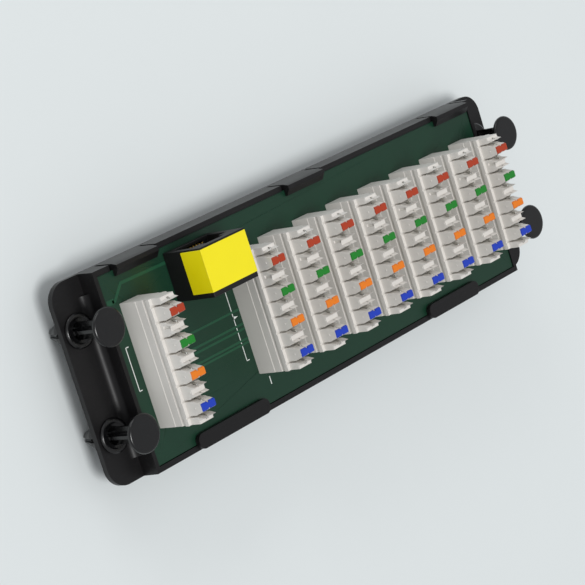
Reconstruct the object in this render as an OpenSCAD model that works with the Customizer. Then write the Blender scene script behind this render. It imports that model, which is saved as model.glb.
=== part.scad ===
/* [Mounting pattern] */
// Distance between the two columns of plungers
plunger_pitch_x = 152.4; // [148:0.1:156]
// Distance between the two rows of plungers
plunger_pitch_y = 25.4; // [20:0.1:34]

/* [Bracket] */
// Length of the bracket, with its end flanges
bracket_l = 162; // [158:0.5:175]
// Width of the bracket
bracket_w = 49.2; // [48:0.1:56]
// Radius of the bracket's corners
corner_r = 5; // [2:0.5:9]
// Thickness of the flanges and of the floor
flange_t = 1.5; // [1:0.1:2]
// Thickness of the tray's end walls
end_wall_t = 1.1; // [0.8:0.1:1.6]
// Height of the tray's walls above the board
wall_rise = 0.3; // [0:0.1:1.5]
// How far the long walls lean in towards the top
wall_draft = 0.2; // [0:0.05:0.4]
// Radius of the hollow fillet between flange and end wall
ramp_r = 2.2; // [0.5:0.1:2.6]
// Thickness of the ribs that carry the board
rib_t = 2; // [1:0.1:3]
// Width of the ledge under the board's edge
ledge_w = 1.5; // [0.8:0.1:3]

/* [Board clips] */
// Width of each snap hook
hook_w = 13.6; // [8:0.1:16]
// How far a hook reaches over the board
hook_reach = 1.5; // [0.5:0.1:2.5]
// Height of a hook above the board
hook_rise = 1.9; // [1:0.1:3]
// Width of the slit beside each hook
slit_w = 0.9; // [0.5:0.1:2]
// Distance from the board's left end to the left hook's centre
hook_inset_left = 11.8; // [9:0.1:20]
// Place of the middle hook along the board
hook_middle_x = 1.6; // [-10:0.1:10]
// Distance from the board's right end to the right hook's centre
hook_inset_right = 7.9; // [7.9:0.1:20]
// Distance from the board's left end to the left tab's centre
tab_inset_left = 25.1; // [15:0.1:40]
// Distance from the board's right end to the right tab's centre
tab_inset_right = 28.2; // [15:0.1:40]
// Width of the left tab
tab_left_w = 24.9; // [10:0.1:26]
// Width of the right tab
tab_right_w = 21.2; // [10:0.1:26]
// How far a tab reaches over the board
tab_reach = 2.5; // [1:0.1:3.5]
// Thickness of a tab
tab_t = 1.3; // [0.8:0.1:2]
// Radius of a tab's corners
tab_corner_r = 1.6; // [0.5:0.1:2.4]

/* [Board] */
// Length of the circuit board
board_l = 140.4; // [138:0.1:142]
// Width of the circuit board
board_w = 45.9; // [44:0.1:46.4]
// Thickness of the circuit board
board_t = 1.6; // [1:0.1:2.4]
// Room for solder tails between the floor and the board
lead_room = 3.1; // [2.2:0.1:5]
// Width of a plated hole for a tail
hole_d = 1; // [0.9:0.05:1.3]

/* [Punch down blocks] */
// Number of location blocks
location_count = 8; // [1:1:8]
// Distance from one location block to the next
location_pitch = 12.9; // [9:0.1:13]
// Place of the first location block
first_location_x = -28.6; // [-29:0.1:-20]
// Place of the line block
line_block_x = -63.35; // [-65:0.05:-60]
// Length of a block
block_l = 30.4; // [30.2:0.1:32]
// Width of a block at its foot
block_w = 6; // [5.2:0.1:7]
// Height of a block's plain foot
foot_h = 5.2; // [3:0.1:6]
// Height of the band above the foot
band_h = 2.3; // [1:0.1:3]
// Height of the groove above the band
groove_h = 1.2; // [0.5:0.1:2]
// Height of the rib that the teeth stand on
collar_h = 1.2; // [0.5:0.1:2]
// Depth of the band behind the foot
band_step = 0.2; // [0.05:0.05:0.4]
// Depth of the groove behind the foot
groove_step = 0.5; // [0.2:0.05:0.8]
// Width of the teeth
tooth_w = 4.3; // [3.4:0.1:5]
// Height of a painted tooth above the collar
tooth_h = 5.3; // [4.6:0.1:7]
// Distance between wire slots
slot_pitch = 3.81; // [3.6:0.01:3.82]
// Width of a wire slot
slot_w = 0.45; // [0.3:0.01:0.6]
// Height of the painted end of a tooth
paint_h = 0.5; // [0.2:0.1:0.8]

/* [Contact clips] */
// Width of a clip
clip_w = 2.4; // [1.8:0.1:2.6]
// Thickness of a clip
clip_t = 0.4; // [0.3:0.05:0.6]
// Distance from a clip's tips down to the ends of the painted teeth
clip_drop = 1.7; // [1:0.1:3]
// Width of the slot that grips the wire
grip_w = 0.3; // [0.2:0.05:0.4]
// Width of a solder tail
tail_w = 0.5; // [0.4:0.05:0.6]
// Length of a solder tail below the board
tail_out = 1.3; // [0.5:0.1:2]

/* [Jack] */
// Place of the jack along the board
jack_x = -41.8; // [-44:0.1:-40]
// Place of the jack's open front
jack_front_y = 21.45; // [20:0.05:22.5]
// Width of the jack
jack_w = 15.2; // [14:0.1:16]
// Depth of the jack
jack_depth = 12; // [11:0.1:14]
// Height of the jack
jack_h = 12.8; // [12.4:0.1:14]
// Width of the plug opening
plug_w = 11.9; // [11.7:0.1:12.3]
// Height of the plug opening
plug_h = 6.9; // [6.5:0.1:7.2]
// Width of the latch notch
latch_w = 6.4; // [6:0.1:7]
// Height of the latch notch above the plug opening
latch_h = 2; // [1:0.1:2.4]
// Thickness of the jack's floor
jack_floor_t = 1.6; // [1:0.1:2]
// Thickness of the jack's back wall
jack_back_t = 1.4; // [1:0.1:2]
// Distance between spring wires
wire_pitch = 1.02; // [0.95:0.01:1.1]
// Thickness of a spring wire
wire_t = 0.4; // [0.3:0.05:0.5]
// Length of the label over the jack, front to back
label_l = 10.3; // [6:0.1:10.5]
// How far the label folds down the side
label_fold = 6.7; // [2:0.1:10]
// Thickness of the label
label_t = 0.15; // [0.1:0.05:0.3]
// Distance from the jack's front to the label
label_inset = 0.45; // [0.2:0.05:0.5]

/* [Plungers] */
// Diameter of a plunger's head
head_d = 9.3; // [8:0.1:10]
// Height of the pulled out head above the flange
head_rise = 11.1; // [10:0.1:12]
// Thickness of the head's rim
head_rim_t = 1.3; // [1:0.1:2]
// Height of the flare under the head
flare_h = 2.4; // [1:0.1:3]
// Width of the crossed ribs on the stalk
cross_w = 4.2; // [3.6:0.1:4.4]
// Thickness of a crossed rib
cross_t = 0.8; // [0.6:0.05:0.9]
// Diameter of the plunger's core
core_d = 2; // [1.6:0.1:2.1]
// How far a plunger pushes in
plunger_travel = 6.5; // [3:0.1:6.6]

/* [Grommets] */
// Diameter of a grommet's disc
disc_d = 8.3; // [7.6:0.1:9]
// Thickness of a grommet's disc
disc_t = 0.9; // [0.6:0.1:1.4]
// Diameter of a grommet's neck
neck_d = 6; // [5.6:0.1:6.4]
// Length of the straight neck behind the mounting face
neck_reach = 3.4; // [2:0.1:4.4]
// Diameter of a grommet's tip
tip_d = 3; // [2.8:0.1:3.4]
// Length of a grommet behind the mounting face
grommet_reach = 7.6; // [6:0.1:9]

/* [Clearances] */
// Gap between the board and the bracket
board_gap = 0.1; // [0.05:0.01:0.2]
// Gap between a clip and its pocket
pocket_gap = 0.1; // [0.05:0.01:0.15]
// Gap between a plunger and its grommet
slide_gap = 0.08; // [0.05:0.01:0.1]
// Gap between a grommet and the flange
grommet_gap = 0.05; // [0.02:0.01:0.1]

/* [Hidden] */
eps = 0.01;
$fn = 48;

// Heights of the stack, from the mounting face up
board_bottom = flange_t + lead_room;
board_top = board_bottom + board_t;
wall_top = board_top + wall_rise;

// The tray around the board
tray_l = board_l + 2 * board_gap;
tray_w = board_w + 2 * board_gap;
tray_outer_l = tray_l + 2 * end_wall_t;
long_wall_t = (bracket_w - tray_w) / 2;

// Places of the hooks, tabs, plungers and slots
hook_places = [
    hook_inset_left - board_l / 2,
    hook_middle_x,
    board_l / 2 - hook_inset_right
];
tab_left_x = tab_inset_left - board_l / 2;
tab_right_x = board_l / 2 - tab_inset_right;
plunger_places = [
    [-plunger_pitch_x / 2, plunger_pitch_y / 2],
    [-plunger_pitch_x / 2, -plunger_pitch_y / 2],
    [plunger_pitch_x / 2, plunger_pitch_y / 2],
    [plunger_pitch_x / 2, -plunger_pitch_y / 2]
];
slot_count = 8;
slot_places = [for (i = [0 : slot_count - 1]) (i - (slot_count - 1) / 2) * slot_pitch];
rib_first = ceil((-tray_l / 2 + rib_t - first_location_x) / location_pitch - 0.5);
rib_last = floor((tray_l / 2 - rib_t - first_location_x) / location_pitch - 0.5);
rib_places = [for (i = [rib_first : rib_last]) first_location_x + (i + 0.5) * location_pitch];

// Heights of a block, from its foot up
band_top = foot_h + band_h;
groove_top = band_top + groove_h;
collar_top = groove_top + collar_h;
tooth_top = collar_top + tooth_h;
slot_floor = collar_top - 0.2;
tooth_half = slot_pitch / 2 - slot_w / 2;
tooth_colours = ["royalblue", "darkorange", "green", "firebrick"];

// The jack, from its floor up
jack_back_y = jack_front_y - jack_depth;
plug_z = board_top + jack_floor_t;
wire_count = 8;
wire_span = (wire_count - 1) * wire_pitch + wire_t;
wire_front_y = jack_front_y - 1.1;
wire_run_z = board_top + 0.9;
wire_tip_y = jack_back_y + jack_back_t + 0.6;
wire_tip_z = plug_z + 2.2;
tail_row_y = wire_front_y - 2;
tail_row_step = 2.54;

// A plunger and its grommet
bore_d = cross_w + 2 * slide_gap;
core_bore_d = core_d + 2 * slide_gap;
leg_slot_w = cross_t + 2 * slide_gap;
head_top = flange_t + head_rise;
rim_bottom = head_top - head_rim_t;
flare_bottom = rim_bottom - flare_h;
stalk_end = flange_t - 0.3;
core_end = plunger_travel - grommet_reach + 0.4;
flange_hole_d = neck_d + 2 * grommet_gap;
leg_slot_top = 0.4;

// An outline in Y and Z, drawn out along X between two places
module along_x(x1, x2) {
    translate([x1, 0, 0])
        rotate([90, 0, 90])
            linear_extrude(x2 - x1)
                children();
}

// An outline in X and Z, drawn out along Y between two places
module along_y(y1, y2) {
    translate([0, y2, 0])
        rotate([90, 0, 0])
            linear_extrude(y2 - y1)
                children();
}

// A block of a given size that stands on a height, centred in X and Y
module slab(size, z) {
    translate([-size.x / 2, -size.y / 2, z])
        cube(size);
}

module rounded_rectangle(l, w, r) {
    for (x = [r - l / 2, l / 2 - r], y = [r - w / 2, w / 2 - r])
        translate([x, y])
            circle(r);
    square([l - 2 * r, w], center = true);
    square([l, w - 2 * r], center = true);
}

// Section through a long wall, which leans in a little towards its top
module long_wall_section() {
    polygon([
        [tray_w / 2, 0],
        [bracket_w / 2, 0],
        [bracket_w / 2, flange_t],
        [bracket_w / 2 - wall_draft, wall_top],
        [tray_w / 2, wall_top]
    ]);
}

// Section through a snap hook, with its lead-in slope and its catch over the board
module hook_section() {
    catch_y = board_w / 2 - hook_reach;
    catch_z = board_top + board_gap;
    polygon([
        [tray_w / 2, 0],
        [bracket_w / 2, 0],
        [bracket_w / 2, flange_t],
        [bracket_w / 2 - wall_draft, wall_top],
        [bracket_w / 2 - wall_draft - 0.4, board_top + hook_rise],
        [tray_w / 2 - 0.1, board_top + hook_rise],
        [catch_y, catch_z + 0.6],
        [catch_y, catch_z],
        [tray_w / 2, catch_z]
    ]);
}

// The hollow ramp from a flange up to the end wall
module end_ramp() {
    along_y(-bracket_w / 2 + corner_r, bracket_w / 2 - corner_r)
        difference() {
            translate([tray_outer_l / 2 - eps, flange_t - eps])
                square(ramp_r + eps);
            translate([tray_outer_l / 2 + ramp_r, flange_t + ramp_r])
                circle(ramp_r);
        }
}

// A flat tab that holds the board's lower edge down
module board_tab(x, w) {
    tab_y = board_w / 2 - tab_reach;
    translate([x, -bracket_w / 4 - tab_y / 2, board_top + board_gap])
        linear_extrude(tab_t)
            rounded_rectangle(w, bracket_w / 2 - wall_draft * 2 - tab_y, tab_corner_r);
}

// The opening in the floor under a clip, which its mould core passes through
module core_hole(x, y, w, reach) {
    translate([x, y, flange_t / 2])
        cube([w, reach, flange_t + 2 * eps], center = true);
}

module bracket() {
    color("#2b2a2b")
    difference() {
        union() {
            linear_extrude(flange_t)
                rounded_rectangle(bracket_l, bracket_w, corner_r);
            for (m = [0, 1])
                mirror([0, m, 0])
                    along_x(-tray_outer_l / 2, tray_outer_l / 2)
                        long_wall_section();
            for (m = [0, 1])
                mirror([m, 0, 0]) {
                    translate([tray_l / 2, -bracket_w / 2 + wall_draft, 0])
                        cube([end_wall_t, bracket_w - 2 * wall_draft, wall_top]);
                    end_ramp();
                }
            for (m = [0, 1])
                mirror([0, m, 0])
                    translate([-tray_l / 2, tray_w / 2 - ledge_w, 0])
                        cube([tray_l, ledge_w + eps, board_bottom]);
            for (x = rib_places)
                translate([x - rib_t / 2, -tray_w / 2, 0])
                    cube([rib_t, tray_w, board_bottom]);
            board_tab(tab_left_x, tab_left_w);
            board_tab(tab_right_x, tab_right_w);
        }
        floor_windows();
        for (x = hook_places)
            hook_gap(x);
        core_hole(tab_left_x, -board_w / 2 + tab_reach / 2, tab_left_w, tab_reach);
        core_hole(tab_right_x, -board_w / 2 + tab_reach / 2, tab_right_w, tab_reach);
        for (p = plunger_places)
            translate([p.x, p.y, 0])
                grommet_seat();
    }
    color("#2b2a2b")
    for (x = hook_places)
        along_x(x - hook_w / 2, x + hook_w / 2)
            hook_section();
}

// The hole for a grommet's neck, and the spot face that clears its disc from the ramp
module grommet_seat() {
    translate([0, 0, -eps])
        cylinder(d = flange_hole_d, h = flange_t + 2 * eps);
    translate([0, 0, flange_t])
        cylinder(d = disc_d + 4 * grommet_gap, h = ramp_r + disc_t);
}

// The windows between the ribs
module floor_windows() {
    window_w = location_pitch - rib_t;
    window_l = tray_w - 2 * ledge_w - 6;
    for (i = [0 : len(rib_places) - 2])
        translate([rib_places[i] + rib_t / 2, -window_l / 2, -eps])
            cube([window_w, window_l, flange_t + 2 * eps]);
}

// The room that a hook flexes in: the slits beside it and the cut behind its foot
module hook_gap(x) {
    room_w = hook_w + 2 * slit_w;
    translate([x - room_w / 2, tray_w / 2 - ledge_w - eps, flange_t])
        cube([room_w, ledge_w + long_wall_t + 2 * eps, wall_top]);
}

module circuit_board() {
    color("#1f4a38")
    difference() {
        slab([board_l, board_w, board_t], board_bottom);
        tail_holes(line_block_x);
        for (i = [0 : location_count - 1])
            tail_holes(first_location_x + i * location_pitch);
        for (i = [0 : wire_count - 1])
            translate([wire_x(i), tail_y(i), board_bottom - eps])
                cylinder(d = hole_d, h = board_t + 2 * eps, $fn = 24);
    }
}

// The row of plated holes under one block
module tail_holes(x) {
    for (y = slot_places)
        translate([x, y, board_bottom - eps])
            cylinder(d = hole_d, h = board_t + 2 * eps, $fn = 24);
}

// Half of a block's outline across the row, mirrored about its middle
module block_section() {
    half = block_w / 2;
    for (m = [0, 1])
        mirror([m, 0])
            polygon([
                [-eps, 0],
                [half, 0],
                [half - 0.1, foot_h],
                [half - band_step, foot_h],
                [half - band_step, band_top],
                [half - groove_step, band_top],
                [half - groove_step, groove_top],
                [half, groove_top],
                [half, collar_top],
                [tooth_w / 2, collar_top],
                [tooth_w / 2 - 0.05, tooth_top],
                [-eps, tooth_top]
            ]);
}

// A tooth with a flat painted end
module painted_tooth() {
    polygon([
        [-tooth_half, 0],
        [-tooth_half, tooth_top - 2.7],
        [-1.45, tooth_top - 2.3],
        [-1, tooth_top - 0.45],
        [-0.75, tooth_top],
        [0.75, tooth_top],
        [1, tooth_top - 0.45],
        [1.45, tooth_top - 2.3],
        [tooth_half, tooth_top - 2.7],
        [tooth_half, 0]
    ]);
}

// A plain tooth, whose end is forked into two horns
module forked_tooth() {
    polygon([
        [-tooth_half, 0],
        [-tooth_half, tooth_top - 3.3],
        [-1.3, tooth_top - 2.7],
        [-0.95, tooth_top - 0.7],
        [-0.5, tooth_top - 1.95],
        [0.5, tooth_top - 1.95],
        [0.95, tooth_top - 0.7],
        [1.3, tooth_top - 2.7],
        [tooth_half, tooth_top - 3.3],
        [tooth_half, 0]
    ]);
}

// The half tooth at each end of a block, with one horn beside the last slot
module end_tooth() {
    inner = slot_places[slot_count - 1] + slot_w / 2;
    outer = block_l / 2;
    polygon([
        [inner, 0],
        [inner, tooth_top - 2.8],
        [inner + 0.5, tooth_top - 0.9],
        [inner + 0.8, tooth_top - 2.1],
        [outer - 0.3, tooth_top - 2.3],
        [outer - 0.05, tooth_top - 2.2],
        [outer, tooth_top - 2.6],
        [outer, 0]
    ]);
}

// A block's outline along the row, with its eight slots left between the teeth
module block_side() {
    translate([-block_l / 2, 0])
        square([block_l, slot_floor]);
    for (i = [0 : slot_count - 2])
        translate([(slot_places[i] + slot_places[i + 1]) / 2, 0])
            if (i % 2 == 0)
                painted_tooth();
            else
                forked_tooth();
    for (m = [0, 1])
        mirror([m, 0])
            end_tooth();
}

module idc_block(x) {
    translate([x, 0, board_top])
        difference() {
            intersection() {
                along_y(-block_l / 2, block_l / 2)
                    block_section();
                along_x(-block_w / 2, block_w / 2)
                    block_side();
            }
            for (y = slot_places)
                translate([0, y, 0])
                    slab([clip_t + 2 * pocket_gap, clip_w + 2 * pocket_gap, tooth_top + 1], -eps);
            translate([-tooth_w / 2 - eps, slot_pitch * 2 + 0.1, collar_top + 1])
                cube([0.35, 0.7, 2.3]);
        }
}

// The part of a block that lies between two heights above the board
module block_layer(x, z1, z2) {
    intersection() {
        idc_block(x);
        translate([x, 0, 0])
            slab([block_w, block_l, z2 - z1], board_top + z1);
    }
}

// One block: the white moulding, and the coloured ends of every other tooth
module punch_down_block(x) {
    color("#e9e4dd")
        block_layer(x, 0, tooth_top - paint_h);
    for (i = [0 : 3])
        color(tooth_colours[i])
            intersection() {
                block_layer(x, tooth_top - paint_h, tooth_top);
                translate([x, slot_pitch * (2 * i - 3), 0])
                    slab([block_w, slot_pitch, tooth_top], board_top);
            }
}

// A forked clip: two tines that grip a wire, and a tail soldered in the board
module contact_clip(x, y) {
    clip_h = tooth_top - clip_drop - 0.3;
    translate([x - clip_t / 2, y, board_top + 0.3])
        along_x(0, clip_t)
            difference() {
                translate([-clip_w / 2, 0])
                    square([clip_w, clip_h]);
                translate([-grip_w / 2, clip_h - 3.4])
                    square([grip_w, 3.4 + eps]);
                polygon([
                    [-grip_w / 2, clip_h - 0.7],
                    [-0.55, clip_h + eps],
                    [0.55, clip_h + eps],
                    [grip_w / 2, clip_h - 0.7]
                ]);
            }
    translate([x - clip_t / 2, y - tail_w / 2, board_bottom - tail_out])
        cube([clip_t, tail_w, board_t + tail_out + 0.3 + eps]);
}

module clip_row(x) {
    color("silver")
    for (y = slot_places)
        contact_clip(x, y);
}

module jack_housing() {
    cavity_depth = jack_depth - jack_back_t;
    color("#1c1c1d")
    difference() {
        translate([jack_x - jack_w / 2, jack_back_y, board_top])
            cube([jack_w, jack_depth, jack_h]);
        translate([jack_x - plug_w / 2, jack_back_y + jack_back_t, plug_z])
            cube([plug_w, cavity_depth + eps, plug_h]);
        translate([jack_x - latch_w / 2, jack_back_y + jack_back_t, plug_z + plug_h - eps])
            cube([latch_w, cavity_depth + eps, latch_h]);
        translate([jack_x - wire_span / 2 - 0.3, tail_y(1) - 0.5, board_top - eps])
            cube([wire_span + 0.6, wire_front_y - tail_y(1) + 0.8, jack_floor_t + 2 * eps]);
    }
}

function wire_x(i) = jack_x + (i - (wire_count - 1) / 2) * wire_pitch;
function tail_y(i) = tail_row_y - (i % 2) * tail_row_step;

// A spring wire: it runs forward over the board, turns up and slopes back into the jack
module spring_wire(i) {
    half = wire_t / 2;
    along_x(wire_x(i) - half, wire_x(i) + half)
        polygon([
            [tail_y(i) - half, board_bottom - tail_out],
            [tail_y(i) + half, board_bottom - tail_out],
            [tail_y(i) + half, wire_run_z - half],
            [wire_front_y, wire_run_z - half],
            [wire_front_y, plug_z + 0.6],
            [wire_tip_y, wire_tip_z + half],
            [wire_tip_y, wire_tip_z - half],
            [wire_front_y - wire_t, plug_z + 0.2],
            [wire_front_y - wire_t, wire_run_z + half],
            [tail_y(i) - half, wire_run_z + half]
        ]);
}

module jack_contacts() {
    color("gold")
    for (i = [0 : wire_count - 1])
        spring_wire(i);
}

// The label lies over the jack's top and folds down one side
module jack_label() {
    left = jack_x - jack_w / 2;
    color("yellow")
        along_y(jack_front_y - label_inset - label_l, jack_front_y - label_inset)
            polygon([
                [left - label_t, board_top + jack_h + label_t],
                [left + jack_w, board_top + jack_h + label_t],
                [left + jack_w, board_top + jack_h],
                [left, board_top + jack_h],
                [left, board_top + jack_h - label_fold],
                [left - label_t, board_top + jack_h - label_fold]
            ]);
}

// Half section of a grommet's outside: disc, straight neck and tapered nose
module grommet_section() {
    polygon([
        [0, -grommet_reach],
        [tip_d / 2 - 0.2, -grommet_reach],
        [tip_d / 2, -grommet_reach + 0.3],
        [neck_d / 2, -neck_reach],
        [neck_d / 2, flange_t],
        [disc_d / 2, flange_t],
        [disc_d / 2, flange_t + disc_t - 0.3],
        [disc_d / 2 - 0.4, flange_t + disc_t],
        [disc_d / 2 - 0.9, flange_t + disc_t],
        [bore_d / 2 + 0.5, flange_t + disc_t - 0.35],
        [0, flange_t + disc_t - 0.35]
    ]);
}

// A grommet, split into four legs that spread behind the sheet metal
module grommet(i) {
    slot_h = grommet_reach + leg_slot_top + 2 * eps;
    color("#222223")
    translate([plunger_places[i].x, plunger_places[i].y, 0])
        difference() {
            rotate_extrude()
                grommet_section();
            translate([0, 0, leg_slot_top])
                cylinder(d = bore_d, h = flange_t + disc_t);
            translate([0, 0, -grommet_reach - eps])
                cylinder(d = core_bore_d, h = grommet_reach + 1);
            slab([leg_slot_w, neck_d + 2, slot_h], -grommet_reach - eps);
            slab([neck_d + 2, leg_slot_w, slot_h], -grommet_reach - eps);
        }
}

// Half section of a plunger's head, with its rounded rim and trumpet flare
module head_section() {
    rim_r = head_rim_t / 2;
    flare_r = head_d / 2 - 1;
    polygon(concat(
        [[0, flare_bottom]],
        [for (a = [0 : 15 : 90])
            [cross_w / 2 + (flare_r - cross_w / 2) * (1 - cos(a)),
             flare_bottom + (rim_bottom - flare_bottom) * sin(a)]],
        [for (a = [-90 : 30 : 90])
            [head_d / 2 - rim_r + rim_r * cos(a), head_top - rim_r + rim_r * sin(a)]],
        [[0, head_top]]
    ));
}

// A plunger in its pulled out place: head, crossed ribs and core
module plunger(i) {
    color("#1a1a1b")
    translate([plunger_places[i].x, plunger_places[i].y, 0]) {
        rotate_extrude()
            head_section();
        intersection() {
            translate([0, 0, stalk_end])
                cylinder(d = cross_w, h = flare_bottom - stalk_end + 0.2);
            union() {
                slab([cross_t, cross_w, head_top], 0);
                slab([cross_w, cross_t, head_top], 0);
            }
        }
        translate([0, 0, core_end])
            cylinder(d = core_d, h = flare_bottom - core_end + 0.2);
    }
}

module location_block(i) {
    if (i < location_count)
        punch_down_block(first_location_x + i * location_pitch);
}

module location_clips(i) {
    if (i < location_count)
        clip_row(first_location_x + i * location_pitch);
}

bracket();
circuit_board();
punch_down_block(line_block_x);  // line_in_block
location_block(0);  // location_block_1
location_block(1);  // location_block_2
location_block(2);  // location_block_3
location_block(3);  // location_block_4
location_block(4);  // location_block_5
location_block(5);  // location_block_6
location_block(6);  // location_block_7
location_block(7);  // location_block_8
clip_row(line_block_x);  // line_in_contacts
location_clips(0);  // location_contacts_1
location_clips(1);  // location_contacts_2
location_clips(2);  // location_contacts_3
location_clips(3);  // location_contacts_4
location_clips(4);  // location_contacts_5
location_clips(5);  // location_contacts_6
location_clips(6);  // location_contacts_7
location_clips(7);  // location_contacts_8
jack_housing();
jack_contacts();
jack_label();
grommet(0);  // grommet_1
grommet(1);  // grommet_2
grommet(2);  // grommet_3
grommet(3);  // grommet_4
plunger(0);  // plunger_1
plunger(1);  // plunger_2
plunger(2);  // plunger_3
plunger(3);  // plunger_4
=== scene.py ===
import math

import bmesh
import bpy
from mathutils import Euler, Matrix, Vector


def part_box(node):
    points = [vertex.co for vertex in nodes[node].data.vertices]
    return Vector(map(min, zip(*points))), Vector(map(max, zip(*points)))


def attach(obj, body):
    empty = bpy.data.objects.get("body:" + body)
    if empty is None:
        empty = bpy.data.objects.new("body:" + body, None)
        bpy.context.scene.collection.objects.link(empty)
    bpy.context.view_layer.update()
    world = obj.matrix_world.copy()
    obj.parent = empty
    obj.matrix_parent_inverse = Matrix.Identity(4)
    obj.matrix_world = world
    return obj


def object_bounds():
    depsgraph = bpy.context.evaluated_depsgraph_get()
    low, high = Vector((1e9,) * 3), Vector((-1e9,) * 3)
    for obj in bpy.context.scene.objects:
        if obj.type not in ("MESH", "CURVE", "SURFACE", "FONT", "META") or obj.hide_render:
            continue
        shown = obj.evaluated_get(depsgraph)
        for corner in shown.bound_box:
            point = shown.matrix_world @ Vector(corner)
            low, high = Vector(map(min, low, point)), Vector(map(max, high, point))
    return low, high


# %% [markdown]
# # A telephone punch down module
# The module is a long green circuit board, snapped into a black moulded bracket. Nine white blocks
# stand on the board: one takes the incoming line and eight serve the rooms. Each holds eight metal
# clips between coloured teeth. A plug jack stands beside them, and four plungers fix the bracket
# in a wiring cabinet.
#
# The rigid pieces come from a CAD model, already at their real size. They could be modelled again
# here, but then the two models could differ. So this lesson loads the CAD pieces as a frame, gives
# them soft edges and materials, and adds only what is too thin or too fine for CAD.

# %% The frame
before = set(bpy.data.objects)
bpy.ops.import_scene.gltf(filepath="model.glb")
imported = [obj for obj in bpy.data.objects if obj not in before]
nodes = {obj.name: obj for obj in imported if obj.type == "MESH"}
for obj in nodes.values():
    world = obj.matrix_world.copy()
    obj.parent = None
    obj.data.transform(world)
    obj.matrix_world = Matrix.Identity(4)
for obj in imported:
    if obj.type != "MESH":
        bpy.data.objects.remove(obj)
cad_low, cad_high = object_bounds()
MM = 0.001
print("CAD nodes:", len(nodes), "size in mm:", [round(v / MM, 1) for v in cad_high - cad_low])

# %% [markdown]
# ## The places that everything else is measured from
# Nothing below repeats a place that the CAD pieces already give. The board's faces, the middle of
# each block and the tops of the teeth are read from their boxes. Only sizes that no box can tell, such
# as the distance between two teeth, are written down.

# %% Heights and places
board_low, board_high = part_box("circuit_board")
BOARD_TOP = board_high.z
BOARD_UNDER = board_low.z
BLOCKS = ["line_in_block"] + [f"location_block_{k}" for k in range(1, 9)]
CLIP_ROWS = ["line_in_contacts"] + [f"location_contacts_{k}" for k in range(1, 9)]
GROMMETS = [f"grommet_{k}" for k in range(1, 5)]
PLUNGERS = [f"plunger_{k}" for k in range(1, 5)]
SLOT_PITCH = 3.81 * MM
TOOTH_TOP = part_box("line_in_block")[1].z


def middle_x(node):
    """The middle of a CAD node along the module."""
    low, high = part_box(node)
    return (low.x + high.x) / 2


block_places = [middle_x(name) for name in BLOCKS]
print("blocks stand at, in mm:", [round(x / MM, 2) for x in block_places])

# %% [markdown]
# ## The camera
# A long lens from about half a metre keeps the module's long edges almost parallel, as in a
# catalogue picture. The camera stands beyond the line block's end, above the jack's side, and is
# rolled so that the module runs up across the frame.

# %% Camera
camera_data = bpy.data.cameras.new("camera")
camera_data.lens = 136.1
camera_data.sensor_width = 36
camera_data.shift_x = -0.0292
camera_data.shift_y = -0.0832
camera_data.clip_start = 0.01
camera_data.clip_end = 20
camera = bpy.data.objects.new("camera", camera_data)
camera.location = Vector((-385.56, 94.41, 387.27)) * MM
camera.rotation_euler = Euler([math.radians(a) for a in (8.664, -45.239, -24.812)])
bpy.context.scene.collection.objects.link(camera)
bpy.context.scene.camera = camera
print("camera distance in mm:", round(camera.location.length / MM))

# %% [markdown]
# ## Floor and light
# The floor is one pale sheet, so wide that its edge never shows. The light is that of a photo tent:
# the world gives an even glow from all sides, a wide sun gives soft shade, and a panel gives the
# black plastic something bright to mirror. Black parts are drawn by such reflections and hardly by
# their colour.

# %% Colour helper


def srgb(r, g, b):
    """A colour picked on a screen, 0 to 255, as the linear colour that shaders use."""
    def linear(v):
        v /= 255
        return v / 12.92 if v <= 0.04045 else ((v + 0.055) / 1.055) ** 2.4
    return (linear(r), linear(g), linear(b), 1)


BACKDROP = srgb(221, 226, 226)

# %% World
world = bpy.data.worlds.new("tent")
bpy.context.scene.world = world
world.use_nodes = True
sky = world.node_tree.nodes["Background"]
sky.inputs["Color"].default_value = srgb(250, 252, 255)
sky.inputs["Strength"].default_value = 0.5
bpy.context.scene.view_settings.view_transform = "Standard"

# %% Lamps


def aim(lamp, place, target):
    """Puts a lamp at a place and turns it towards a target."""
    lamp.location = place
    lamp.rotation_mode = "QUATERNION"
    lamp.rotation_quaternion = (Vector(target) - Vector(place)).to_track_quat("-Z", "Y")


def make_sun(name, strength, spread, place):
    """A sun so wide that its shadows have soft edges."""
    data = bpy.data.lights.new(name, "SUN")
    data.energy = strength
    data.angle = math.radians(spread)
    lamp = bpy.data.objects.new(name, data)
    bpy.context.scene.collection.objects.link(lamp)
    aim(lamp, place, (0, 0, 0))
    return lamp


def make_panel(name, watts, size, place, target=(0, 0, 0)):
    """A flat square panel lamp."""
    data = bpy.data.lights.new(name, "AREA")
    data.shape = "RECTANGLE"
    data.size = size[0]
    data.size_y = size[1]
    data.energy = watts
    lamp = bpy.data.objects.new(name, data)
    bpy.context.scene.collection.objects.link(lamp)
    aim(lamp, place, target)
    return lamp


make_sun("key_sun", 1.6, 20, (-0.35, -0.1, 0.9))
make_panel("upper_panel", 1.1, (0.5, 0.16), (-0.25, 0.75, 0.35))

# %% Floor
FLOOR_HALF = 6.0
floor_mesh = bpy.data.meshes.new("floor")
floor_mesh.from_pydata(
    [(x, y, cad_low.z) for x, y in ((-FLOOR_HALF, -FLOOR_HALF), (FLOOR_HALF, -FLOOR_HALF),
                                    (FLOOR_HALF, FLOOR_HALF), (-FLOOR_HALF, FLOOR_HALF))],
    [], [(0, 1, 2, 3)])
floor = bpy.data.objects.new("floor", floor_mesh)
bpy.context.scene.collection.objects.link(floor)

# %% [markdown]
# ## Node helpers
# A material is a small graph. Building one by hand takes many lines, so two helpers make it short:
# one adds a node and fills its inputs, and one starts a material with its Principled shader.

# %% Node helpers


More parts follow.
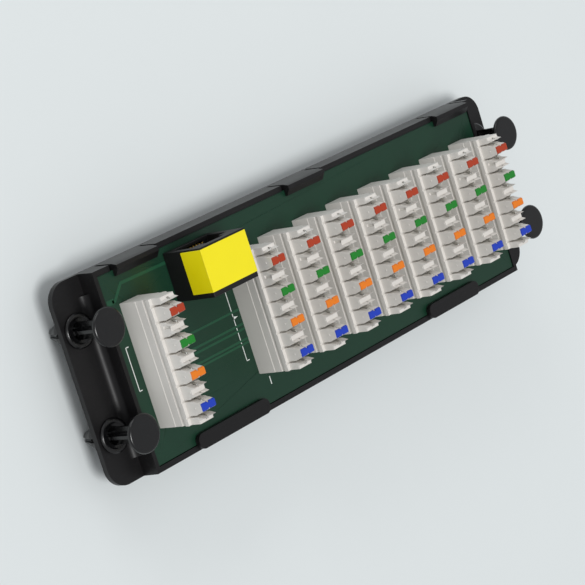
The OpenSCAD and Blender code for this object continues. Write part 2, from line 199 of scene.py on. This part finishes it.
def add(tree, kind, **inputs):
    """Adds a shader node. Each input is a value, or a socket to link from; _ stands for a space."""
    node = tree.nodes.new("ShaderNode" + kind)
    for name, value in inputs.items():
        socket = node.inputs[int(name[1:])] if name[0] == "i" and name[1:].isdigit() \
            else node.inputs[name.replace("_", " ")]
        if isinstance(value, bpy.types.NodeSocket):
            tree.links.new(value, socket)
        else:
            socket.default_value = value
    return node


def math_node(tree, operation, a, b=0.0, c=0.0):
    """A math node's result."""
    node = tree.nodes.new("ShaderNodeMath")
    node.operation = operation
    for socket, value in zip(node.inputs, (a, b, c)):
        if isinstance(value, bpy.types.NodeSocket):
            tree.links.new(value, socket)
        else:
            socket.default_value = value
    return node.outputs[0]


def mix_colour(tree, factor, first, second, blend="MIX"):
    """Mixes two colours by a factor."""
    node = tree.nodes.new("ShaderNodeMix")
    node.data_type = "RGBA"
    node.blend_type = blend
    for index, value in ((0, factor), (6, first), (7, second)):
        if isinstance(value, bpy.types.NodeSocket):
            tree.links.new(value, node.inputs[index])
        else:
            node.inputs[index].default_value = value
    return node.outputs[2]


def new_material(name, **shader):
    """A material with one Principled shader, whose plain values are set on its own sockets."""
    material = bpy.data.materials.new(name)
    material.use_nodes = True
    principled = material.node_tree.nodes["Principled BSDF"]
    for key, value in shader.items():
        principled.inputs[key.replace("_", " ")].default_value = value
    return material, material.node_tree, principled


def new_group(name, inputs, outputs):
    """A node group with named sockets: (name, type, default) in and (name, type) out."""
    group = bpy.data.node_groups.new(name, "ShaderNodeTree")
    for label, kind, default in inputs:
        socket = group.interface.new_socket(label, in_out="INPUT", socket_type="NodeSocket" + kind)
        socket.default_value = default
    for label, kind in outputs:
        group.interface.new_socket(label, in_out="OUTPUT", socket_type="NodeSocket" + kind)
    start = group.nodes.new("NodeGroupInput")
    end = group.nodes.new("NodeGroupOutput")
    return group, start, end


def use_group(tree, group, **inputs):
    """Places a group in a material with its own values."""
    node = tree.nodes.new("ShaderNodeGroup")
    node.node_tree = group
    for key, value in inputs.items():
        socket = node.inputs[key.replace("_", " ")]
        if isinstance(value, bpy.types.NodeSocket):
            tree.links.new(value, socket)
        else:
            socket.default_value = value
    return node


# %% [markdown]
# ## Moulded plastic as a shared group
# Moulded plastic is never quite even. Its colour drifts a little where the melt cooled at another
# speed, and the mould's spark-eroded steel leaves a fine grain. Four materials here need that, each
# at its own strength, so it is one group: a slow noise moves the colour and the gloss, and a fine
# noise raises the grain.

# %% Moulded surface group
moulded, g_in, g_out = new_group(
    "Moulded surface",
    [("Colour", "Color", (0.5, 0.5, 0.5, 1)), ("Drift", "Float", 0.1), ("Drift Scale", "Float", 120.0),
     ("Grain Scale", "Float", 4000.0), ("Grain Height", "Float", 0.1),
     ("Roughness", "Float", 0.4), ("Roughness Spread", "Float", 0.1)],
    [("Colour", "Color"), ("Roughness", "Float"), ("Normal", "Vector")])
g_place = add(moulded, "TexCoord").outputs["Object"]
g_slow = add(moulded, "TexNoise", Vector=g_place, Scale=g_in.outputs["Drift Scale"], Detail=3.0)
g_fine = add(moulded, "TexNoise", Vector=g_place, Scale=g_in.outputs["Grain Scale"], Detail=2.0)
g_shift = math_node(moulded, "SUBTRACT", g_slow.outputs[0], 0.5)
g_bright = math_node(moulded, "MULTIPLY_ADD", g_shift, g_in.outputs["Drift"], 1.0)
g_tone = add(moulded, "CombineColor", Red=g_bright, Green=g_bright, Blue=g_bright)
g_colour = mix_colour(moulded, 1.0, g_in.outputs["Colour"], g_tone.outputs[0], "MULTIPLY")
g_rough = math_node(moulded, "MULTIPLY_ADD", g_shift, g_in.outputs["Roughness Spread"],
                    g_in.outputs["Roughness"])
g_bump = add(moulded, "Bump", Height=g_fine.outputs[0], Distance=0.00002,
             Strength=g_in.outputs["Grain Height"])
moulded.links.new(g_colour, g_out.inputs["Colour"])
moulded.links.new(g_rough, g_out.inputs["Roughness"])
moulded.links.new(g_bump.outputs[0], g_out.inputs["Normal"])
print("group:", moulded.name, [s.name for s in moulded.interface.items_tree])

# %% [markdown]
# ## Handling marks as a second group
# Parts that fingers and screwdrivers touch carry fine, crossing scratches. They are too shallow for
# geometry. Two noises, each squeezed along another direction, give thin streaks, and only their
# highest ridges are kept as a mask.

# %% Handling marks group
marks, m_in, m_out = new_group(
    "Handling marks",
    [("Scale", "Float", 500.0), ("Amount", "Float", 0.2)],
    [("Mask", "Float")])
m_place = add(marks, "TexCoord").outputs["Object"]
streaks = []
for turn, squeeze in ((0.6, (1, 14, 3)), (-0.9, (16, 1, 4))):
    m_map = add(marks, "Mapping", Vector=m_place, Rotation=(0, 0, turn), Scale=squeeze)
    m_noise = add(marks, "TexNoise", Vector=m_map.outputs[0], Scale=m_in.outputs["Scale"], Detail=2.0)
    m_ridge = add(marks, "MapRange", Value=m_noise.outputs[0], From_Min=0.62, From_Max=0.72)
    streaks.append(m_ridge.outputs[0])
m_sum = math_node(marks, "MAXIMUM", streaks[0], streaks[1])
marks.links.new(math_node(marks, "MULTIPLY", m_sum, m_in.outputs["Amount"]), m_out.inputs["Mask"])
print("group:", marks.name)

# %% [markdown]
# ## The plastics
# The bracket is a satin black moulding, the jack a plainer black, and the plungers and grommets a
# slightly glossier nylon. One function makes them all: the moulded group gives colour, gloss and
# grain, and the handling marks lift the gloss where the mask is set.

# %% Plastic materials


def plastic(name, colour, rough, drift=0.2, grain=0.25, grain_scale=5000.0, wear=0.25, **shader):
    """A moulded plastic with grain and handling marks."""
    material, tree, principled = new_material(name, **shader)
    body = use_group(tree, moulded, Colour=colour, Drift=drift, Grain_Height=grain,
                     Grain_Scale=grain_scale, Roughness=rough, Roughness_Spread=0.12)
    worn = use_group(tree, marks, Amount=wear)
    lighter = mix_colour(tree, math_node(tree, "MULTIPLY", worn.outputs[0], 0.3),
                         body.outputs["Colour"], (0.4, 0.4, 0.4, 1))
    gloss = math_node(tree, "SUBTRACT", body.outputs["Roughness"],
                      math_node(tree, "MULTIPLY", worn.outputs[0], 0.25))
    tree.links.new(lighter, principled.inputs["Base Color"])
    tree.links.new(gloss, principled.inputs["Roughness"])
    tree.links.new(body.outputs["Normal"], principled.inputs["Normal"])
    return material


bracket_black = plastic("bracket_black", srgb(19, 18, 19), 0.4, wear=0.05,
                        Specular_IOR_Level=0.3)
jack_black = plastic("jack_black", srgb(15, 14, 15), 0.5, grain=0.35, wear=0.05,
                     Specular_IOR_Level=0.36)
fastener_black = plastic("fastener_black", srgb(12, 12, 13), 0.24, drift=0.15, grain=0.1, wear=0.02)
print("plastics:", [m.name for m in bpy.data.materials])

# %% [markdown]
# ## White blocks with painted ends
# The blocks are moulded in a warm white resin. A hot stamp then lays brown, green, orange and blue
# on the ends of every other tooth, so that a fitter finds the pairs. The paint could be four more
# pieces, but it has no thickness of its own. So the material paints by place: above a height it
# lays the colour of that quarter of the block, and a noise frays the paint's lower edge.

# %% Block resin
PAINT_DEPTH = 0.42 * MM
PAIR_SPAN = 2 * SLOT_PITCH
PAIR_COLOURS = [srgb(6, 56, 186), srgb(238, 126, 6), srgb(4, 128, 26), srgb(176, 54, 10)]
block_white, tree, principled = new_material("block_white", Subsurface_Weight=0.0)
body = use_group(tree, moulded, Colour=srgb(221, 217, 211), Drift=0.05, Drift_Scale=180.0,
                 Grain_Height=0.15, Grain_Scale=3500.0, Roughness=0.42, Roughness_Spread=0.12)
spot = add(tree, "TexCoord").outputs["Object"]
axes = add(tree, "SeparateXYZ", Vector=spot)
along = add(tree, "MapRange", Value=axes.outputs["Y"],
            From_Min=-2 * PAIR_SPAN, From_Max=2 * PAIR_SPAN)
ramp = add(tree, "ValToRGB", Fac=along.outputs[0])
ramp.color_ramp.interpolation = "CONSTANT"
while len(ramp.color_ramp.elements) < len(PAIR_COLOURS):
    ramp.color_ramp.elements.new(0.9)
for index, colour in enumerate(PAIR_COLOURS):
    ramp.color_ramp.elements[index].position = index / len(PAIR_COLOURS)
    ramp.color_ramp.elements[index].color = colour
fray = add(tree, "TexNoise", Vector=spot, Scale=2600.0, Detail=3.0)
edge = math_node(tree, "MULTIPLY_ADD", fray.outputs[0], 0.35 * MM, TOOTH_TOP - PAINT_DEPTH - 0.175 * MM)
painted = add(tree, "MapRange", Value=math_node(tree, "SUBTRACT", axes.outputs["Z"], edge),
              From_Min=0.0, From_Max=0.03 * MM)
blotch = add(tree, "TexNoise", Vector=spot, Scale=1500.0, Detail=2.0)
uneven = mix_colour(tree, math_node(tree, "MULTIPLY", blotch.outputs[0], 0.15),
                    ramp.outputs[0], (0.02, 0.02, 0.02, 1))
tree.links.new(mix_colour(tree, painted.outputs[0], body.outputs["Colour"], uneven),
               principled.inputs["Base Color"])
tree.links.new(body.outputs["Roughness"], principled.inputs["Roughness"])
tree.links.new(body.outputs["Normal"], principled.inputs["Normal"])
print("pair colours:", len(PAIR_COLOURS))

# %% [markdown]
# ## The board and its print
# The board is glass cloth and resin under a green lacquer. The lacquer is thin, so the cloth's weave
# shows as a faint grid, and the copper below it shows as paler lines. The weave is a bump in the
# material. The copper lines have a real height and edge that catch the light, so they are geometry.

# %% Board materials


def lacquer(name, colour, weave=0.12):
    """Green lacquer over woven glass cloth."""
    material, tree, principled = new_material(name, Coat_Weight=0.08, Coat_Roughness=0.2,
                                               Specular_IOR_Level=0.35)
    spot = add(tree, "TexCoord").outputs["Object"]
    threads = []
    for direction in ("X", "Y"):
        wave = add(tree, "TexWave", Vector=spot, Scale=180.0, Distortion=0.6, Detail=1.0)
        wave.bands_direction = direction
        threads.append(wave.outputs[1])
    cloth = math_node(tree, "MULTIPLY", threads[0], threads[1])
    cloud = add(tree, "TexNoise", Vector=spot, Scale=70.0, Detail=4.0)
    tone = math_node(tree, "MULTIPLY_ADD", cloud.outputs[0], 0.3, 0.85)
    shade = add(tree, "CombineColor", Red=tone, Green=tone, Blue=tone)
    tree.links.new(mix_colour(tree, 1.0, colour, shade.outputs[0], "MULTIPLY"),
                   principled.inputs["Base Color"])
    tree.links.new(math_node(tree, "MULTIPLY_ADD", cloud.outputs[0], 0.2, 0.3),
                   principled.inputs["Roughness"])
    bump = add(tree, "Bump", Height=cloth, Distance=0.00001, Strength=weave)
    tree.links.new(bump.outputs[0], principled.inputs["Normal"])
    return material


board_green = lacquer("board_green", srgb(14, 52, 35))
trace_green = lacquer("trace_green", srgb(26, 76, 52))


def grained(name, colour, rough, scale, height, drift=0.25, **shader):
    """A plain finish whose grain follows a noise, such as ink, tin or vinyl."""
    material, tree, principled = new_material(name, **shader)
    body = use_group(tree, moulded, Colour=colour, Drift=drift, Drift_Scale=scale / 6,
                     Grain_Height=height, Grain_Scale=scale, Roughness=rough, Roughness_Spread=0.15)
    tree.links.new(body.outputs["Colour"], principled.inputs["Base Color"])
    tree.links.new(body.outputs["Roughness"], principled.inputs["Roughness"])
    tree.links.new(body.outputs["Normal"], principled.inputs["Normal"])
    return material


white_ink = grained("white_ink", srgb(222, 226, 222), 0.5, 6000.0, 0.3)
clip_tin = grained("clip_tin", srgb(205, 205, 200), 0.28, 3000.0, 0.2, Metallic=1.0)
solder_tin = grained("solder_tin", srgb(190, 190, 186), 0.2, 2500.0, 0.4, Metallic=1.0)
contact_gold = grained("contact_gold", srgb(236, 190, 96), 0.22, 3000.0, 0.15, Metallic=1.0)
label_yellow = grained("label_yellow", srgb(246, 230, 0), 0.36, 900.0, 0.12, 0.06,
                       Coat_Weight=0.12, Coat_Roughness=0.12)
print("materials:", sorted(m.name for m in bpy.data.materials))

# %% [markdown]
# ## A floor of plain card
# The floor has the backdrop's colour. Its faint fibre keeps it from looking like a flat screen.

# %% Floor material
floor_card = grained("floor_card", BACKDROP, 0.85, 300.0, 0.02, 0.01)
floor_card.node_tree.nodes["Principled BSDF"].inputs["Specular IOR Level"].default_value = 0.0
floor.data.materials.append(floor_card)

# %% [markdown]
# ## Soft edges for the CAD pieces
# A real moulding has no knife edges: the cutter that made the mould leaves a radius of a tenth of a
# millimetre or more, and that thin line is what catches the light. The CAD pieces may not be
# moved, but they may have modifiers. Weld joins the loose faces of the imported mesh, Bevel rounds
# its edges, and Weighted Normal keeps the flat faces flat.

# %% Dressing a node


def dress(name, material, edge=0.0, segments=2, angle=32):
    """Gives a CAD node its material and rounds its edges by that radius in millimetres."""
    node = nodes[name]
    mesh = node.data
    mesh.materials.clear()
    mesh.materials.append(material)
    for face in mesh.polygons:
        face.material_index = 0
        face.use_smooth = True
    if "custom_normal" in mesh.attributes:
        mesh.attributes.remove(mesh.attributes["custom_normal"])
    weld = node.modifiers.new("weld", "WELD")
    weld.merge_threshold = 0.001 * MM
    if edge:
        bevel = node.modifiers.new("soft_edges", "BEVEL")
        bevel.width = edge * MM
        bevel.segments = segments
        bevel.limit_method = "ANGLE"
        bevel.angle_limit = math.radians(angle)
        bevel.use_clamp_overlap = True
        bevel.miter_outer = "MITER_ARC"
    flat = node.modifiers.new("flat_faces", "WEIGHTED_NORMAL")
    flat.keep_sharp = True


dress("bracket", bracket_black, 0.22)
dress("circuit_board", board_green, 0.05, 1)
for name in BLOCKS:
    dress(name, block_white, 0.09)
for name in CLIP_ROWS:
    dress(name, clip_tin, 0.05, 1)
dress("jack_housing", jack_black, 0.2)
dress("jack_contacts", contact_gold, 0.06)
dress("jack_label", label_yellow, 0.06)
for name in GROMMETS:
    dress(name, fastener_black, 0.12)
for name in PLUNGERS:
    dress(name, fastener_black, 0.1)
print("dressed nodes:", len(nodes))

# %% [markdown]
# ## A small kit for thin pieces
# Copper lines, ink and moulding marks are flat outlines with a little height. They could be drawn
# as curves, but closed meshes are easier to check. Each builder below adds one closed form to a
# bmesh, and `finish_piece` turns the lot into one object that rides on the module.

# %% Thin piece kit


def add_prism(bm, outline, low, high):
    """Adds a closed prism: an outline in X and Y between two heights."""
    under = [bm.verts.new((x, y, low)) for x, y in outline]
    over = [bm.verts.new((x, y, high)) for x, y in outline]
    bm.faces.new(list(reversed(under)))
    bm.faces.new(over)
    count = len(outline)
    for k in range(count):
        n = (k + 1) % count
        bm.faces.new((under[k], under[n], over[n], over[k]))


def strip_outline(route, width):
    """The outline of a line of even width along a route, with mitred corners."""
    left, right = [], []
    for k, here in enumerate(route):
        before = Vector(route[max(k - 1, 0)])
        after = Vector(route[min(k + 1, len(route) - 1)])
        here = Vector(here)
        arms = [v.normalized() for v in (here - before, after - here) if v.length > 0]
        along = sum(arms, Vector((0, 0))).normalized()
        side = Vector((-along.y, along.x))
        reach = width / 2 / max(side.dot(Vector((-arms[0].y, arms[0].x))), 0.4)
        left.append(here + side * reach)
        right.append(here - side * reach)
    return [tuple(v) for v in reversed(left)] + [tuple(v) for v in right]


def disc_outline(x, y, radius, count=20):
    """Points round a circle."""
    return [(x + radius * math.cos(2 * math.pi * k / count),
             y + radius * math.sin(2 * math.pi * k / count)) for k in range(count)]


def finish_piece(name, bm, material, body="module"):
    """Makes an object of a bmesh and lets it ride on a body."""
    bmesh.ops.recalc_face_normals(bm, faces=bm.faces)
    mesh = bpy.data.meshes.new(name)
    bm.to_mesh(mesh)
    bm.free()
    mesh.materials.append(material)
    piece = bpy.data.objects.new(name, mesh)
    bpy.context.scene.collection.objects.link(piece)
    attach(piece, body)
    return piece


# %% [markdown]
# ## Copper under the lacquer
# Few copper lines show on this side of the board. Five run from the line block to the first room's
# block, and one climbs from a pad past the line block to the jack. Each is a strip 0.035 mm high,
# as copper is.

# %% Copper lines
COPPER = 0.035 * MM
SINK = 0.01 * MM
ROOM_LINES_MM = (1.4, -2.2, -3.4, -5.9, -6.8)
ROOM_LINE_W = 0.55 * MM
CLIMB_MM = [(-68.2, 16.2), (-67.3, 16.2), (-64.1, 19.45), (-49.0, 19.3)]
CLIMB_W = 0.75 * MM
PAD_MM = [(-69.9, 15.6), (-67.6, 15.6), (-67.6, 16.9), (-69.9, 16.9)]


def in_metres(points):
    """The same points, given in millimetres, in metres."""
    return [(x * MM, y * MM) for x, y in points]


bm = bmesh.new()
copper_top = BOARD_TOP + COPPER
for y in ROOM_LINES_MM:
    route = [(block_places[0], y * MM), (block_places[1], y * MM)]
    add_prism(bm, strip_outline(route, ROOM_LINE_W), BOARD_TOP - SINK, copper_top)
add_prism(bm, strip_outline(in_metres(CLIMB_MM), CLIMB_W), BOARD_TOP - SINK, copper_top)
add_prism(bm, in_metres(PAD_MM), BOARD_TOP - SINK, copper_top)
finish_piece("copper_lines", bm, trace_green)
print("copper lines: 6, with one pad")

# %% [markdown]
# ## Ink
# The board's print is white ink. Only plain marks are on it: the rooms' numbers, a rule beside the
# line block and a rule with an arrow beside the first room's block. The numbers come from Blender's
# own font, turned into a mesh so that they have a closed, countable form.

# %% Rules and arrow
INK = 0.02 * MM
INK_W = 0.22 * MM
block_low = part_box("line_in_block")[0]
bm = bmesh.new()


def add_rule(bm, x, y1, y2, tick):
    """A rule along the board's width, with a short tick at each end."""
    for route in ([(x, y1), (x, y2)], [(x, y1), (x + tick, y1)], [(x, y2), (x + tick, y2)]):
        add_prism(bm, strip_outline(route, INK_W), BOARD_TOP - SINK, BOARD_TOP + INK)


line_rule_x = block_low.x - 2.3 * MM
room_rule_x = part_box("location_block_1")[0].x - 2.6 * MM
add_rule(bm, line_rule_x, -5.2 * MM, 5.3 * MM, 0.9 * MM)
add_rule(bm, room_rule_x, -10.8 * MM, 8.5 * MM, 0.9 * MM)
arrow = [(room_rule_x - 0.1 * MM, -0.4 * MM), (room_rule_x - 0.1 * MM, 0.4 * MM),
         (room_rule_x + 1.5 * MM, 0)]
add_prism(bm, arrow, BOARD_TOP - SINK, BOARD_TOP + INK)
finish_piece("printed_rules", bm, white_ink)

# %% Numbers
NUMBER_H = 2.9 * MM
number_y = block_low.y - 3.6 * MM
for index, x in enumerate(block_places[1:], start=1):
    curve = bpy.data.curves.new(f"number_{index}", "FONT")
    curve.body = str(index)
    curve.size = NUMBER_H
    curve.extrude = INK / 2
    curve.align_x = "CENTER"
    curve.resolution_u = 4
    drawn = bpy.data.objects.new("drawn", curve)
    drawn.location = (x - 0.2 * MM, number_y, BOARD_TOP + INK / 2)
    bpy.context.scene.collection.objects.link(drawn)
    bpy.context.view_layer.update()
    mesh = bpy.data.meshes.new_from_object(drawn.evaluated_get(
        bpy.context.evaluated_depsgraph_get()))
    mesh.name = f"room_number_{index}"
    number = bpy.data.objects.new(mesh.name, mesh)
    number.location = drawn.location
    bpy.data.objects.remove(drawn)
    mesh.materials.clear()
    mesh.materials.append(white_ink)
    bpy.context.scene.collection.objects.link(number)
    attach(number, "module")
print("room numbers: 8")

# %% [markdown]
# ## Moulding marks on the teeth
# Six of the seven full teeth have a small round mark at the middle of each side, where an ejector pin
# or a vent met the plastic. They are low round bosses, one mesh for all blocks.

# %% Tooth marks
MARK_R = 0.24 * MM
MARK_H = 0.1 * MM
MARK_Z = TOOTH_TOP - 2.5 * MM
TOOTH_HALF = 2.125 * MM
PLAIN_TEETH = (-3, -2, -1, 0, 1, 3)
bm = bmesh.new()
for x in block_places:
    for tooth in PLAIN_TEETH:
        for side in (-1, 1):
            inner = x + side * (TOOTH_HALF - SINK)
            outer = x + side * (TOOTH_HALF + MARK_H)
            rings = []
            for place, radius in ((inner, MARK_R), (outer, MARK_R * 0.7)):
                rings.append([bm.verts.new((place, y, z)) for y, z in
                              disc_outline(tooth * SLOT_PITCH, MARK_Z, radius, 12)])
            bm.faces.new(rings[0])
            bm.faces.new(list(reversed(rings[1])))
            for k in range(12):
                n = (k + 1) % 12
                bm.faces.new((rings[0][k], rings[0][n], rings[1][n], rings[1][k]))
finish_piece("tooth_marks", bm, block_white)
print("tooth marks:", len(block_places) * len(PLAIN_TEETH) * 2)

# %% [markdown]
# ## Solder on the underside
# Each clip's tail passes through the board and ends in a small bright cone of solder. The cones
# could be spheres or cones from the menu, but real solder climbs the tail in a hollow curve, so a
# short profile is turned round each tail.

# %% Solder joints
SOLDER_PROFILE = [(0.78, 0.0), (0.7, 0.08), (0.5, 0.3), (0.4, 0.6), (0.3, 0.85), (0.0, 0.9)]
TURNS = 14


def add_solder(bm, x, y):
    """One hollow-sided cone of solder under the board."""
    rings = []
    for radius, drop in SOLDER_PROFILE[:-1]:
        z = BOARD_UNDER - drop * MM
        rings.append([bm.verts.new((px, py, z)) for px, py in
                      disc_outline(x, y, radius * MM, TURNS)])
    tip = bm.verts.new((x, y, BOARD_UNDER - SOLDER_PROFILE[-1][1] * MM))
    bm.faces.new(rings[0])
    for upper, lower in zip(rings, rings[1:]):
        for k in range(TURNS):
            n = (k + 1) % TURNS
            bm.faces.new((upper[k], upper[n], lower[n], lower[k]))
    for k in range(TURNS):
        bm.faces.new((rings[-1][k], rings[-1][(k + 1) % TURNS], tip))


bm = bmesh.new()
for x in block_places:
    for index in range(8):
        add_solder(bm, x, (index - 3.5) * SLOT_PITCH)
solder = finish_piece("solder_joints", bm, solder_tin)
for face in solder.data.polygons:
    face.use_smooth = True
print("solder joints:", len(block_places) * 8)
